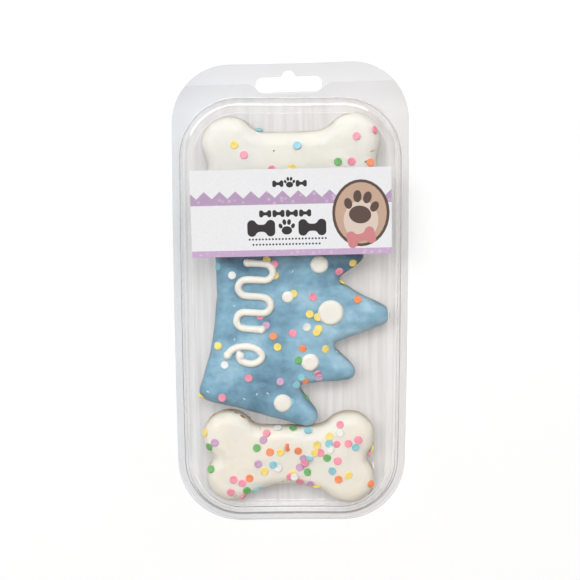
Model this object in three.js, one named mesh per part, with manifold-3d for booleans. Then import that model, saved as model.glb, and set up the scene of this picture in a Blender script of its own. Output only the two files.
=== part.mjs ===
import * as THREE from "three";
import { mergeVertices } from "three/addons/utils/BufferGeometryUtils.js";
import Module from "manifold-3d";

// A shut clear clamshell pack that holds three iced dog biscuits: a bone, a crown and a bone.
// It lies on its back, with X across the pack, Y up the pack towards its hang slot and Z out of
// its front. The origin is under the middle of the pack, on the surface that it lies on.
// Sizes are in millimetres and angles in degrees.

// The flanges: the flat rims of both shells, which meet all round.
const PACK_WIDTH = 116.6;
const PACK_HEIGHT = 232.2;
const FLANGE_TOP_RADIUS = 28.6;
const FLANGE_BOTTOM_RADIUS = 32.3;
const PLASTIC = 0.5;
const SEAM_GAP = 0.3;
const BACK_FLANGE_TOP = 14.5;
const SIDE_BOW = 0.85;
const END_BOW = 0.8;
// The tab above the blister isn't quite square: its upper edge rises by this from the middle to the
// right, and falls as much to the left.
const TAB_LEAN = 1.2;

// The blister: the raised dome of the front shell and the tray of the back shell share one foot line.
const BLISTER_WIDTH = 109.4;
const BLISTER_TOP = 99.35;
const BLISTER_BOTTOM = -113.0;
const BLISTER_RADIUS = 29.4;
const DOME_HEIGHT = 7;

// Inset from the foot line and height above the flange, up the stepped wall of the dome.
const DOME_WALL = [
  [0, 0],
  [0.4, 0.7],
  [1.5, 3.4],
  [3.4, 4.0],
  [5.2, 6.2],
  [6.5, DOME_HEIGHT],
];

// Inset from the foot line and depth below the flange, down the inside of the tray.
const TRAY_WALL = [
  [0.4, 0],
  [0.8, 0.7],
  [1.2, 9.5],
  [1.9, 12.3],
  [3.2, 13.6],
  [4.8, BACK_FLANGE_TOP - PLASTIC],
];

// The hang slot, a round-ended bar with a round notch above its middle.
const SLOT_WIDTH = 32;
const SLOT_HEIGHT = 7.2;
const SLOT_CENTRE = [-0.7, 106];
const SLOT_TURN = 1.8;
const SLOT_END_RADIUS = 3.2;
const SLOT_NOTCH_RADIUS = 3.1;
const SLOT_NOTCH_RISE = 3.6;
const SLOT_FILLET = 0.8;

// The back shell's flange stops short of the tab, so that the tab is a single sheet. Its upper edge
// leans as the tab does, and dips round the lower side of the slot. Sizes are those of the cutter.
const BACK_EDGE = {
  left: 105.2,
  right: 107.9,
  dipLeft: { x: -11.6, y: 106.2, r: 5 },
  dipRight: { x: 11.2, y: 106.8, r: 5 },
  shoulderLeft: { x: -20.2, y: 104, r: -2 },
  shoulderRight: { x: 20.2, y: 105, r: -2 },
  cornerRadius: 1,
};

// The biscuits stand on the tray floor. All three are cut from dough of one thickness.
const BISCUIT_FLOOR = 0.8;
const BISCUIT_TOP = 14.8;
// Inset from the widest outline and drop below the top, down the rounded side of a biscuit.
const BISCUIT_SIDE = [
  [3.6, 0],
  [2.0, 0.7],
  [0.8, 2.1],
  [0.1, 4.4],
  [0, 7.4],
  [0.8, 11.2],
  [2.6, BISCUIT_TOP - BISCUIT_FLOOR],
];

// Each bone has four round lobes, a waist between them and a hollow at each end. The icing fills the
// end hollows of the top bone, and the lower left lobe of the bottom bone has shrunk a little.
const TOP_BONE = {
  centre: [0.9, 65.9],
  turn: 1.6,
  lowerRight: { x: 30.6, y: -11.2, r: 13.4 },
  upperRight: { x: 30.6, y: 11.7, r: 13.4 },
  upperLeft: { x: -30.6, y: 11.7, r: 13.4 },
  lowerLeft: { x: -30.6, y: -11.2, r: 13.4 },
  rightHollow: 20,
  leftHollow: 20,
  above: { waist: 16.5, hollow: 12 },
  below: { waist: 14.8, hollow: 30 },
};
const BOTTOM_BONE = {
  centre: [-1.3, -84.9],
  turn: -0.3,
  lowerRight: { x: 30.5, y: -11.2, r: 13.3 },
  upperRight: { x: 30.5, y: 11.2, r: 13.3 },
  upperLeft: { x: -30.5, y: 11.6, r: 13.3 },
  lowerLeft: { x: -29.3, y: -9.9, r: 13.2 },
  rightHollow: 5,
  leftHollow: 3,
  above: { waist: 16.7, hollow: 8 },
  below: { waist: 14.4, hollow: 30 },
};

// The crown lies on its side: X runs from the middle of its hollow base to its middle spike.
const CROWN_CENTRE = [-37.6, -4.7];
const CROWN_TURN = -3.8;
const CROWN_HOLLOW_RADIUS = 156;
const CROWN_CORNER_RADIUS = 4.6;
const CROWN_LOWER_CORNER_Y = 44.7;
const CROWN_UPPER_CORNER_Y = 38.2;
const CROWN_MIDDLE_TIP = { x: 82.1, r: 5.2 };
const CROWN_INNER_TIP = { x: 68.05, y: 30.15, r: 4.3 };
const CROWN_LOWER_TIP = { x: 49.8, y: 55, r: 5.1 };
const CROWN_UPPER_TIP = { x: 46.6, y: 50.6, r: 5.1 };
const CROWN_INNER_VALLEY = { x: 63.5, y: 17.1, r: 2.6 };
const CROWN_OUTER_VALLEY = { x: 46.9, y: 39.9, r: 2 };

// Sugar confetti: flat round discs, sunk into the icing by half their thickness.
const DISC_RADIUS = 2.1;
const DISC_THICKNESS = 1.2;
const DISC_SIDES = 8;
const DISC_SPACING = 4.8;
const DISC_CLEARANCE = 0.4;
// The middle of a disc keeps this share of its radius inside the biscuit's outline.
const DISC_RIM_SHARE = 0.6;
const DISC_ATTEMPTS = 400;
// Each draw is the last one times a factor plus a step, within a range.
const DRAW_FACTOR = 1664525;
const DRAW_STEP = 1013904223;
const DRAW_RANGE = 2 ** 32;
const TOP_BONE_SEED = 5;
const BOTTOM_BONE_SEED = 8;
const CROWN_SEED = 11;
// Each patch is where confetti lies on a biscuit: its middle, its radius and how many discs it holds.
const TOP_BONE_PATCHES = [
  { x: -25, y: 9, radius: 6, count: 2 },
  { x: 3, y: 10, radius: 2, count: 1 },
  { x: -4, y: 0, radius: 9, count: 3 },
  { x: 33, y: 8, radius: 10, count: 5 },
];
const BOTTOM_BONE_PATCHES = [
  { x: -38, y: 6, radius: 8, count: 3 },
  { x: -12, y: 10, radius: 8, count: 6 },
  { x: -10, y: -2, radius: 7, count: 5 },
  { x: -25, y: -13, radius: 8, count: 6 },
  { x: 4, y: -5, radius: 8, count: 6 },
  { x: 20, y: 7, radius: 8, count: 7 },
  { x: 31, y: 9, radius: 8, count: 5 },
  { x: 24, y: -8, radius: 9, count: 4 },
  { x: 38, y: -8, radius: 7, count: 2 },
];
const CROWN_PATCHES = [
  { x: 5, y: 22, radius: 6, count: 2 },
  { x: 28, y: 20, radius: 6, count: 2 },
  { x: 63, y: 26, radius: 5, count: 2 },
  { x: 46, y: 8, radius: 4, count: 2 },
  { x: 50, y: -9, radius: 7, count: 5 },
  { x: 70, y: 3, radius: 4, count: 1 },
  { x: 35, y: -8, radius: 6, count: 3 },
  { x: 44, y: -22, radius: 6, count: 3 },
  { x: 45, y: -36, radius: 7, count: 5 },
  { x: 20, y: -38, radius: 9, count: 3 },
  { x: 2, y: -40, radius: 7, count: 2 },
  { x: 46, y: -50, radius: 3, count: 1 },
];

// Round icing drops on the crown: their middle in the crown's own frame, radius and height.
const ICING_DROPS = [
  { x: 50.2, y: 25.2, radius: 4.5, height: 1.8 },
  { x: 35.5, y: 7.8, radius: 3.1, height: 1.5 },
  { x: 57.6, y: 1.1, radius: 6.4, height: 2.2 },
  { x: 48.9, y: -25.1, radius: 4.6, height: 1.9 },
  { x: 36.5, y: -47.3, radius: 4.7, height: 1.9 },
];
const DROP_SIDES = 14;
const DROP_RINGS = 6;

// A piped squiggle of white icing runs back and forth down the crown, with a wide curl below it.
const PIPING_RADIUS = 1.85;
const PIPING_SIDES = 8;
const PIPING_LIFT = 0.6;
const SQUIGGLE = { left: 14.5, right: 23.5, top: 24, pitch: 8.4, runs: 5, steps: 56 };
const HALF_TURN_ANGLES = [60, 20, -20, -60];
const CURL = { x: 17.4, y: -24, halfWidth: 10.2, halfHeight: 6.2, turns: 1.02, closing: 0.6, steps: 22 };

// The paper label on the front of the dome.
const LABEL_WIDTH = 98;
const LABEL_HEIGHT = 42.8;
const LABEL_THICKNESS = 0.3;
const LABEL_GAP = 0.3;
const LABEL_CENTRE = [0.2, 44.55];
const LABEL_TURN = 1;

// Colours, and how clear the plastic is.
const CREAM = 0xf1ecdf;
const BLUE = 0x7ba6c0;
const CLEAR = 0xe9eef0;
const PAPER = 0xf0f0f3;
const PLASTIC_OPACITY = 0.3;

// How finely round shapes are cut into facets.
const CORNER_STEPS = 9;
const LONG_SIDE_STEPS = 6;
const SHORT_SIDE_STEPS = 4;
const ARC_STEP = 20;
// Two points of an outline closer than this are one.
const SAME_POINT = 0.05;
// How far a cutter reaches past the sheet that it cuts.
const CUTTER_REACH = 2;

const wasm = await Module();
wasm.setup();

const radians = THREE.MathUtils.degToRad;
const frontFlangeTop = BACK_FLANGE_TOP + SEAM_GAP + PLASTIC;

// A closed mesh as a solid that can be cut and joined.
function solidFrom(geometry) {
  const bare = geometry.clone();
  bare.deleteAttribute("normal");
  bare.deleteAttribute("uv");
  const merged = mergeVertices(bare, 1e-4);
  return new wasm.Manifold(
    new wasm.Mesh({
      numProp: 3,
      vertProperties: new Float32Array(merged.attributes.position.array),
      triVerts: new Uint32Array(merged.index.array),
    }),
  );
}

// The solid back as a mesh geometry.
function geometryFrom(solid) {
  const mesh = solid.getMesh();
  const geometry = new THREE.BufferGeometry();
  geometry.setAttribute("position", new THREE.BufferAttribute(mesh.vertProperties, 3));
  geometry.setIndex(new THREE.BufferAttribute(mesh.triVerts, 1));
  geometry.computeVertexNormals();
  return geometry;
}

// A rectangle with round corners and gently bowed sides, anticlockwise, moved in by an inset.
function bowedOutline(width, bottom, top, bottomRadius, topRadius, inset) {
  const halfWidth = width / 2 - inset;
  const halfHeight = (top - bottom) / 2 - inset;
  const middle = (top + bottom) / 2;
  const corners = [
    { x: 1, y: -1, radius: bottomRadius - inset, start: -90, side: LONG_SIDE_STEPS },
    { x: 1, y: 1, radius: topRadius - inset, start: 0, side: SHORT_SIDE_STEPS },
    { x: -1, y: 1, radius: topRadius - inset, start: 90, side: LONG_SIDE_STEPS },
    { x: -1, y: -1, radius: bottomRadius - inset, start: 180, side: SHORT_SIDE_STEPS },
  ];
  const points = [];
  const arcPoint = (corner, angle) =>
    new THREE.Vector2(
      corner.x * (halfWidth - corner.radius) + corner.radius * Math.cos(radians(angle)),
      corner.y * (halfHeight - corner.radius) + corner.radius * Math.sin(radians(angle)),
    );
  corners.forEach((corner, index) => {
    for (let step = 0; step <= CORNER_STEPS; step++)
      points.push(arcPoint(corner, corner.start + (90 * step) / CORNER_STEPS));
    const next = corners[(index + 1) % corners.length];
    const from = points[points.length - 1];
    const to = arcPoint(next, next.start);
    for (let step = 1; step < corner.side; step++)
      points.push(new THREE.Vector2().lerpVectors(from, to, step / corner.side));
  });
  return points.map((point) => {
    const across = point.x / halfWidth;
    const along = point.y / halfHeight;
    return new THREE.Vector2(
      point.x - SIDE_BOW * across * along * along,
      middle + point.y + END_BOW * along * across * across,
    );
  });
}

// The flange's outer edge. Its upper end leans, and the lean fades out down the sides.
function flangeOutline() {
  const halfHeight = PACK_HEIGHT / 2;
  const outline = bowedOutline(
    PACK_WIDTH,
    -halfHeight,
    halfHeight,
    FLANGE_BOTTOM_RADIUS,
    FLANGE_TOP_RADIUS,
    0,
  );
  return outline.map(({ x, y }) => {
    const along = Math.max(0, y / halfHeight);
    return new THREE.Vector2(x, y + (TAB_LEAN * along ** 2 * x) / (PACK_WIDTH / 2));
  });
}

const blisterOutline = (inset) =>
  bowedOutline(
    BLISTER_WIDTH,
    BLISTER_BOTTOM,
    BLISTER_TOP,
    BLISTER_RADIUS,
    BLISTER_RADIUS,
    inset,
  );

// A smooth closed outline, anticlockwise, like a belt laid round circles: a circle with a positive
// radius lies inside the belt and makes a round corner, one with a negative radius lies outside it
// and makes a round hollow. Straight stretches touch both their circles.
function beltOutline(circles) {
  const leave = circles.map((circle, index) => {
    const next = circles[(index + 1) % circles.length];
    const apart = Math.hypot(next.x - circle.x, next.y - circle.y);
    const lean = THREE.MathUtils.clamp((circle.r - next.r) / apart, -1, 1);
    return Math.atan2(next.y - circle.y, next.x - circle.x) + Math.asin(lean);
  });
  const points = [];
  circles.forEach((circle, index) => {
    const arrive = leave[(index + circles.length - 1) % circles.length];
    const full = 2 * Math.PI;
    let turn = (((leave[index] - arrive) % full) + full) % full;
    if (circle.r < 0 && turn > 0) turn -= full;
    const steps = Math.max(1, Math.ceil(Math.abs(turn) / radians(ARC_STEP)));
    for (let step = 0; step <= steps; step++) {
      const heading = arrive + (turn * step) / steps;
      points.push(
        new THREE.Vector2(
          circle.x + circle.r * Math.sin(heading),
          circle.y - circle.r * Math.cos(heading),
        ),
      );
    }
  });
  return points.filter(
    (point, index) => point.distanceTo(points[(index + 1) % points.length]) > SAME_POINT,
  );
}

// The same outline moved in by an inset, point by point along its normals.
function movedIn(outline, inset) {
  return outline.map((point, index) => {
    const before = outline[(index + outline.length - 1) % outline.length];
    const after = outline[(index + 1) % outline.length];
    const arriving = new THREE.Vector2().subVectors(point, before).normalize();
    const leaving = new THREE.Vector2().subVectors(after, point).normalize();
    const along = arriving.add(leaving).normalize();
    return new THREE.Vector2(point.x - inset * along.y, point.y + inset * along.x);
  });
}

const ringAt = (outline, z) => outline.map((point) => new THREE.Vector3(point.x, point.y, z));

// A closed surface over rings of points, alike in number and anticlockwise from above. The first
// ring is capped facing up and the last facing down.
function loft(rings) {
  const count = rings[0].length;
  const positions = rings.flat().flatMap((point) => [point.x, point.y, point.z]);
  const triangles = [];
  for (let ring = 0; ring + 1 < rings.length; ring++)
    for (let place = 0; place < count; place++) {
      const here = ring * count + place;
      const beside = ring * count + ((place + 1) % count);
      triangles.push(here, here + count, beside + count, here, beside + count, beside);
    }
  const flat = (ring) => ring.map((point) => new THREE.Vector2(point.x, point.y));
  for (const [a, b, c] of THREE.ShapeUtils.triangulateShape(flat(rings[0]), []))
    triangles.push(a, b, c);
  const last = (rings.length - 1) * count;
  for (const [a, b, c] of THREE.ShapeUtils.triangulateShape(flat(rings[rings.length - 1]), []))
    triangles.push(last + a, last + c, last + b);
  const geometry = new THREE.BufferGeometry();
  geometry.setAttribute("position", new THREE.Float32BufferAttribute(positions, 3));
  geometry.setIndex(triangles);
  geometry.computeVertexNormals();
  return geometry;
}

// The hang slot as a tall prism, to cut through a flange.
function slotCutter() {
  const endX = SLOT_WIDTH / 2 - SLOT_END_RADIUS;
  const endY = SLOT_HEIGHT / 2 - SLOT_END_RADIUS;
  const reach = SLOT_NOTCH_RADIUS + SLOT_FILLET;
  const filletY = SLOT_HEIGHT / 2 + SLOT_FILLET;
  const filletX = Math.sqrt(reach ** 2 - (filletY - SLOT_NOTCH_RISE) ** 2);
  const outline = beltOutline([
    { x: endX, y: -endY, r: SLOT_END_RADIUS },
    { x: endX, y: endY, r: SLOT_END_RADIUS },
    { x: filletX, y: filletY, r: -SLOT_FILLET },
    { x: 0, y: SLOT_NOTCH_RISE, r: SLOT_NOTCH_RADIUS },
    { x: -filletX, y: filletY, r: -SLOT_FILLET },
    { x: -endX, y: endY, r: SLOT_END_RADIUS },
    { x: -endX, y: -endY, r: SLOT_END_RADIUS },
  ]);
  const below = frontFlangeTop - PLASTIC - CUTTER_REACH;
  const above = frontFlangeTop + CUTTER_REACH;
  const cutter = loft([ringAt(outline, above), ringAt(outline, below)]);
  cutter.rotateZ(radians(SLOT_TURN));
  cutter.translate(SLOT_CENTRE[0], SLOT_CENTRE[1], 0);
  return solidFrom(cutter);
}

// What is cut off the back shell's flange above its upper edge.
function backEdgeCutter() {
  const { left, right, dipLeft, dipRight, shoulderLeft, shoulderRight, cornerRadius } = BACK_EDGE;
  const side = PACK_WIDTH / 2 + CUTTER_REACH;
  const top = PACK_HEIGHT / 2 + CUTTER_REACH;
  const corner = (x, y) => ({ x, y, r: cornerRadius });
  const outline = beltOutline([
    corner(side, right + cornerRadius),
    corner(side, top),
    corner(-side, top),
    corner(-side, left + cornerRadius),
    shoulderLeft,
    dipLeft,
    dipRight,
    shoulderRight,
  ]);
  const below = BACK_FLANGE_TOP - PLASTIC - CUTTER_REACH;
  const above = BACK_FLANGE_TOP + CUTTER_REACH;
  return solidFrom(loft([ringAt(outline, above), ringAt(outline, below)]));
}

// The front shell: flat top face, stepped wall, flange, and the same again one thickness inside.
function frontShell() {
  const wall = (thickness) =>
    DOME_WALL.map(([inset, height]) =>
      ringAt(blisterOutline(inset + thickness), frontFlangeTop + height - thickness),
    );
  const rings = [
    ...wall(0).reverse(),
    ringAt(flangeOutline(), frontFlangeTop),
    ringAt(flangeOutline(), frontFlangeTop - PLASTIC),
    ...wall(PLASTIC),
  ];
  return geometryFrom(solidFrom(loft(rings)).subtract(slotCutter()));
}

// The back shell: tray floor, wall, flange, and the same again one thickness outside.
function backShell() {
  const wall = (thickness) =>
    TRAY_WALL.map(([inset, depth]) =>
      ringAt(blisterOutline(inset - thickness), BACK_FLANGE_TOP - depth - thickness),
    );
  const rings = [
    ...wall(0).reverse(),
    ringAt(flangeOutline(), BACK_FLANGE_TOP),
    ringAt(flangeOutline(), BACK_FLANGE_TOP - PLASTIC),
    ...wall(PLASTIC),
  ];
  return geometryFrom(solidFrom(loft(rings)).subtract(backEdgeCutter()));
}

// The hollow between two lobes: it touches both, on the right of the way from one to the other.
function endHollow(from, to, radius) {
  const fromReach = from.r + radius;
  const toReach = to.r + radius;
  const way = new THREE.Vector2(to.x - from.x, to.y - from.y);
  const apart = way.length();
  const along = (fromReach ** 2 - toReach ** 2 + apart ** 2) / (2 * apart);
  const aside = Math.sqrt(fromReach ** 2 - along ** 2);
  way.normalize();
  return {
    x: from.x + along * way.x + aside * way.y,
    y: from.y + along * way.y - aside * way.x,
    r: -radius,
  };
}

// The hollow that leads from a lobe into the straight waist.
function waistHollow(lobe, { waist, hollow }) {
  const y = Math.sign(lobe.y) * (waist + hollow);
  const aside = Math.sqrt((lobe.r + hollow) ** 2 - (y - lobe.y) ** 2);
  return { x: lobe.x - Math.sign(lobe.x) * aside, y, r: -hollow };
}

// A bone's outline about its own middle, from its lobes and the hollows that touch them.
function boneOutline(shape) {
  const { lowerRight, upperRight, upperLeft, lowerLeft } = shape;
  return beltOutline([
    lowerRight,
    endHollow(lowerRight, upperRight, shape.rightHollow),
    upperRight,
    waistHollow(upperRight, shape.above),
    waistHollow(upperLeft, shape.above),
    upperLeft,
    endHollow(upperLeft, lowerLeft, shape.leftHollow),
    lowerLeft,
    waistHollow(lowerLeft, shape.below),
    waistHollow(lowerRight, shape.below),
  ]);
}

// The crown's outline in its own frame. Its base is a shallow hollow that touches both corners.
function crownOutline() {
  const corner = (y) => {
    const apart = CROWN_HOLLOW_RADIUS + CROWN_CORNER_RADIUS;
    return { x: Math.sqrt(apart ** 2 - y ** 2) - CROWN_HOLLOW_RADIUS, y, r: CROWN_CORNER_RADIUS };
  };
  const lower = (circle, sign = 1) => ({ ...circle, y: -circle.y, r: sign * circle.r });
  const upper = (circle, sign = 1) => ({ ...circle, r: sign * circle.r });
  return beltOutline([
    lower(corner(CROWN_LOWER_CORNER_Y)),
    lower(CROWN_LOWER_TIP),
    lower(CROWN_OUTER_VALLEY, -1),
    lower(CROWN_INNER_TIP),
    lower(CROWN_INNER_VALLEY, -1),
    { ...CROWN_MIDDLE_TIP, y: 0 },
    upper(CROWN_INNER_VALLEY, -1),
    upper(CROWN_INNER_TIP),
    upper(CROWN_OUTER_VALLEY, -1),
    upper(CROWN_UPPER_TIP),
    upper(corner(CROWN_UPPER_CORNER_Y)),
    { x: -CROWN_HOLLOW_RADIUS, y: 0, r: -CROWN_HOLLOW_RADIUS },
  ]);
}

// The biscuit's body: its outline with a rounded upper edge and a slightly drawn-in foot.
const biscuitBody = (outline) =>
  loft(BISCUIT_SIDE.map(([inset, drop]) => ringAt(movedIn(outline, inset), BISCUIT_TOP - drop)));

// Where a point above the biscuit meets its surface, and which way the surface faces there.
function surfaceAt(outline, x, y) {
  const here = new THREE.Vector2(x, y);
  const nearest = { distance: Infinity, point: null };
  outline.forEach((from, index) => {
    const to = outline[(index + 1) % outline.length];
    const edge = new THREE.Vector2().subVectors(to, from);
    const share = new THREE.Vector2().subVectors(here, from).dot(edge) / edge.lengthSq();
    const point = edge.multiplyScalar(THREE.MathUtils.clamp(share, 0, 1)).add(from);
    const distance = point.distanceTo(here);
    if (distance < nearest.distance) Object.assign(nearest, { distance, point });
  });
  const outward = nearest.point.sub(here).normalize();
  const step = BISCUIT_SIDE.findIndex(([inset]) => inset <= nearest.distance);
  if (step <= 0) return { z: BISCUIT_TOP, normal: new THREE.Vector3(0, 0, 1) };
  const [inner, innerDrop] = BISCUIT_SIDE[step - 1];
  const [outer, outerDrop] = BISCUIT_SIDE[step];
  const share = (inner - nearest.distance) / (inner - outer);
  const slope = (outerDrop - innerDrop) / (inner - outer);
  return {
    z: BISCUIT_TOP - THREE.MathUtils.lerp(innerDrop, outerDrop, share),
    normal: new THREE.Vector3(outward.x * slope, outward.y * slope, 1).normalize(),
  };
}

// Evenly spread draws from 0 to 1 that are the same on every run.
function seededDraws(seed) {
  let state = seed;
  return () => {
    state = (state * DRAW_FACTOR + DRAW_STEP) % DRAW_RANGE;
    return state / DRAW_RANGE;
  };
}

const isInside = (outline, x, y) => {
  let inside = false;
  outline.forEach((from, index) => {
    const to = outline[(index + 1) % outline.length];
    if (from.y > y !== to.y > y && x < from.x + ((y - from.y) * (to.x - from.x)) / (to.y - from.y))
      inside = !inside;
  });
  return inside;
};

// Places for the confetti in each patch, kept apart from each other and from what is in the way.
function scattered(patches, outline, inTheWay, seed) {
  const draw = seededDraws(seed);
  const rim = movedIn(outline, DISC_RADIUS * DISC_RIM_SHARE);
  const places = [];
  for (const patch of patches) {
    let wanted = patch.count;
    for (let attempt = 0; attempt < DISC_ATTEMPTS && wanted > 0; attempt++) {
      const reach = patch.radius * Math.sqrt(draw());
      const angle = 2 * Math.PI * draw();
      const x = patch.x + reach * Math.cos(angle);
      const y = patch.y + reach * Math.sin(angle);
      const clear = (other, gap) => Math.hypot(other.x - x, other.y - y) > gap;
      if (!isInside(rim, x, y)) continue;
      if (!places.every((place) => clear(place, DISC_SPACING))) continue;
      if (!inTheWay.every((thing) => clear(thing, thing.radius + DISC_RADIUS + DISC_CLEARANCE))) continue;
      places.push({ x, y });
      wanted--;
    }
  }
  return places;
}

// One confetti disc, laid flat on the surface under it.
function disc(outline, place) {
  const surface = surfaceAt(outline, place.x, place.y);
  const geometry = new THREE.CylinderGeometry(DISC_RADIUS, DISC_RADIUS, DISC_THICKNESS, DISC_SIDES);
  const upright = new THREE.Vector3(0, 1, 0);
  geometry.applyQuaternion(new THREE.Quaternion().setFromUnitVectors(upright, surface.normal));
  geometry.translate(place.x, place.y, surface.z);
  return solidFrom(geometry);
}

// A low round drop of icing, half sunk into the top of the biscuit.
function drop({ x, y, radius, height }) {
  const geometry = new THREE.SphereGeometry(1, DROP_SIDES, DROP_RINGS);
  geometry.rotateX(Math.PI / 2);
  geometry.scale(radius, radius, height);
  geometry.translate(x, y, BISCUIT_TOP);
  return solidFrom(geometry);
}

// A round line of icing piped along points on the top of the biscuit, with round ends.
function piped(points, steps) {
  const height = BISCUIT_TOP + PIPING_LIFT;
  const path = new THREE.CatmullRomCurve3(points.map(({ x, y }) => new THREE.Vector3(x, y, height)));
  const section = new THREE.Shape();
  section.absarc(0, 0, PIPING_RADIUS, 0, 2 * Math.PI);
  const line = new THREE.ExtrudeGeometry(section, {
    steps,
    curveSegments: PIPING_SIDES / 2,
    extrudePath: path,
    bevelEnabled: false,
  });
  const ends = [points[0], points[points.length - 1]].map(({ x, y }) => {
    const ball = new THREE.SphereGeometry(PIPING_RADIUS, PIPING_SIDES, PIPING_SIDES / 2);
    ball.translate(x, y, height);
    return solidFrom(ball);
  });
  return ends.reduce((all, end) => all.add(end), solidFrom(line));
}

// The squiggle is straight runs across the crown, joined by half turns at alternate ends.
function squigglePoints() {
  const { left, right, top, pitch, runs } = SQUIGGLE;
  const points = [];
  for (let run = 0; run < runs; run++) {
    const y = top - run * pitch;
    const side = run % 2 ? -1 : 1;
    const [start, end] = run % 2 ? [right, left] : [left, right];
    points.push({ x: start, y }, { x: (start + end) / 2, y }, { x: end, y });
    if (run + 1 === runs) break;
    for (const angle of HALF_TURN_ANGLES)
      points.push({
        x: end + (side * pitch * Math.cos(radians(angle))) / 2,
        y: y - pitch / 2 + (pitch * Math.sin(radians(angle))) / 2,
      });
  }
  return points;
}

// The curl is a wide open spiral that starts at its left and closes in by a set share of its size.
function curlPoints() {
  const { x, y, halfWidth, halfHeight, turns, closing, steps } = CURL;
  return Array.from({ length: steps + 1 }, (_, step) => {
    const share = step / steps;
    const angle = 2 * Math.PI * turns * share;
    const size = 1 - closing * share;
    return {
      x: x - halfWidth * size * Math.cos(angle),
      y: y + halfHeight * size * Math.sin(angle),
    };
  });
}

function bone(shape, patches, seed) {
  const outline = boneOutline(shape);
  const places = scattered(patches, outline, [], seed);
  const toppings = places.map((place) => disc(outline, place));
  return toppings.reduce((all, topping) => all.add(topping), solidFrom(biscuitBody(outline)));
}

function crown() {
  const outline = crownOutline();
  const lines = [
    { points: squigglePoints(), steps: SQUIGGLE.steps },
    { points: curlPoints(), steps: CURL.steps },
  ];
  const pipedPlaces = lines.flatMap(({ points }) =>
    points.map((point) => ({ ...point, radius: PIPING_RADIUS })),
  );
  const places = scattered(CROWN_PATCHES, outline, [...ICING_DROPS, ...pipedPlaces], CROWN_SEED);
  const toppings = [
    ...places.map((place) => disc(outline, place)),
    ...ICING_DROPS.map(drop),
    ...lines.map(({ points, steps }) => piped(points, steps)),
  ];
  return toppings.reduce((all, topping) => all.add(topping), solidFrom(biscuitBody(outline)));
}

const plastic = () =>
  new THREE.MeshStandardMaterial({
    color: CLEAR,
    roughness: 0.08,
    metalness: 0,
    transparent: true,
    opacity: PLASTIC_OPACITY,
  });
const icing = (color) => new THREE.MeshStandardMaterial({ color, roughness: 0.45, metalness: 0 });

function namedMesh(name, geometry, material) {
  const mesh = new THREE.Mesh(geometry, material);
  mesh.name = name;
  return mesh;
}

const pack = new THREE.Group();

pack.add(namedMesh("shell_back", backShell(), plastic()));
pack.add(namedMesh("shell_front", frontShell(), plastic()));

const topBone = namedMesh(
  "bone_top",
  geometryFrom(bone(TOP_BONE, TOP_BONE_PATCHES, TOP_BONE_SEED)),
  icing(CREAM),
);
topBone.position.set(TOP_BONE.centre[0], TOP_BONE.centre[1], 0);
topBone.rotation.z = radians(TOP_BONE.turn);
pack.add(topBone);

const bottomBone = namedMesh(
  "bone_bottom",
  geometryFrom(bone(BOTTOM_BONE, BOTTOM_BONE_PATCHES, BOTTOM_BONE_SEED)),
  icing(CREAM),
);
bottomBone.position.set(BOTTOM_BONE.centre[0], BOTTOM_BONE.centre[1], 0);
bottomBone.rotation.z = radians(BOTTOM_BONE.turn);
pack.add(bottomBone);

const crownMesh = namedMesh("crown", geometryFrom(crown()), icing(BLUE));
crownMesh.position.set(CROWN_CENTRE[0], CROWN_CENTRE[1], 0);
crownMesh.rotation.z = radians(CROWN_TURN);
pack.add(crownMesh);

const label = namedMesh(
  "label",
  new THREE.BoxGeometry(LABEL_WIDTH, LABEL_HEIGHT, LABEL_THICKNESS),
  new THREE.MeshStandardMaterial({ color: PAPER, roughness: 0.6, metalness: 0 }),
);
label.position.set(
  LABEL_CENTRE[0],
  LABEL_CENTRE[1],
  frontFlangeTop + DOME_HEIGHT + LABEL_GAP + LABEL_THICKNESS / 2,
);
label.rotation.z = radians(LABEL_TURN);
pack.add(label);

export default pack;
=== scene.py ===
# %% [markdown]
# # A clear pack of iced dog biscuits
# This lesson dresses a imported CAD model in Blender: a shut pack of clear plastic sheet, with a paper
# label on its front and three iced biscuits inside. Each piece takes the place of one of the model's
# nodes. All sizes are metres, so a value in millimetres is multiplied by MM.

# %% Load the frame
import bmesh
import bpy
from math import asin, atan2, ceil, copysign, cos, exp, hypot, pi, radians, sin, sqrt, tan
from mathutils import Matrix, Vector, kdtree, noise


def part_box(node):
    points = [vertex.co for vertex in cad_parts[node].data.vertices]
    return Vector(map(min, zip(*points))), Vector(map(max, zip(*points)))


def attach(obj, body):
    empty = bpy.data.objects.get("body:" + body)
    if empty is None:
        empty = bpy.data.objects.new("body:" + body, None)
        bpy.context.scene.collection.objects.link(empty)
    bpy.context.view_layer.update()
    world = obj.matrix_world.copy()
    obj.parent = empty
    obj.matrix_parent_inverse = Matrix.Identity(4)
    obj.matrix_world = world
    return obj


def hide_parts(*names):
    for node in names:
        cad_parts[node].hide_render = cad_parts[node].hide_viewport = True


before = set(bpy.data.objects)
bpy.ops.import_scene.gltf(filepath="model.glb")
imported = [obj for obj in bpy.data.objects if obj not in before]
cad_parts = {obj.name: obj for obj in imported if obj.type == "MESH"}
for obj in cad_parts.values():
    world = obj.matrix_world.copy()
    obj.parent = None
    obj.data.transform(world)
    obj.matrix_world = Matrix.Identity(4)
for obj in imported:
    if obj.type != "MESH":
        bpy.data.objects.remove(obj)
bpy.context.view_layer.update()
MM = 0.001
print("CAD nodes:", sorted(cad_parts))

# %% [markdown]
# ## Where things are
# The pack lies on its back: X runs across it, Y up it to the hang slot, and Z out of its front. The
# levels are read from the CAD nodes, so that the looks can't drift away from the model.

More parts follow.
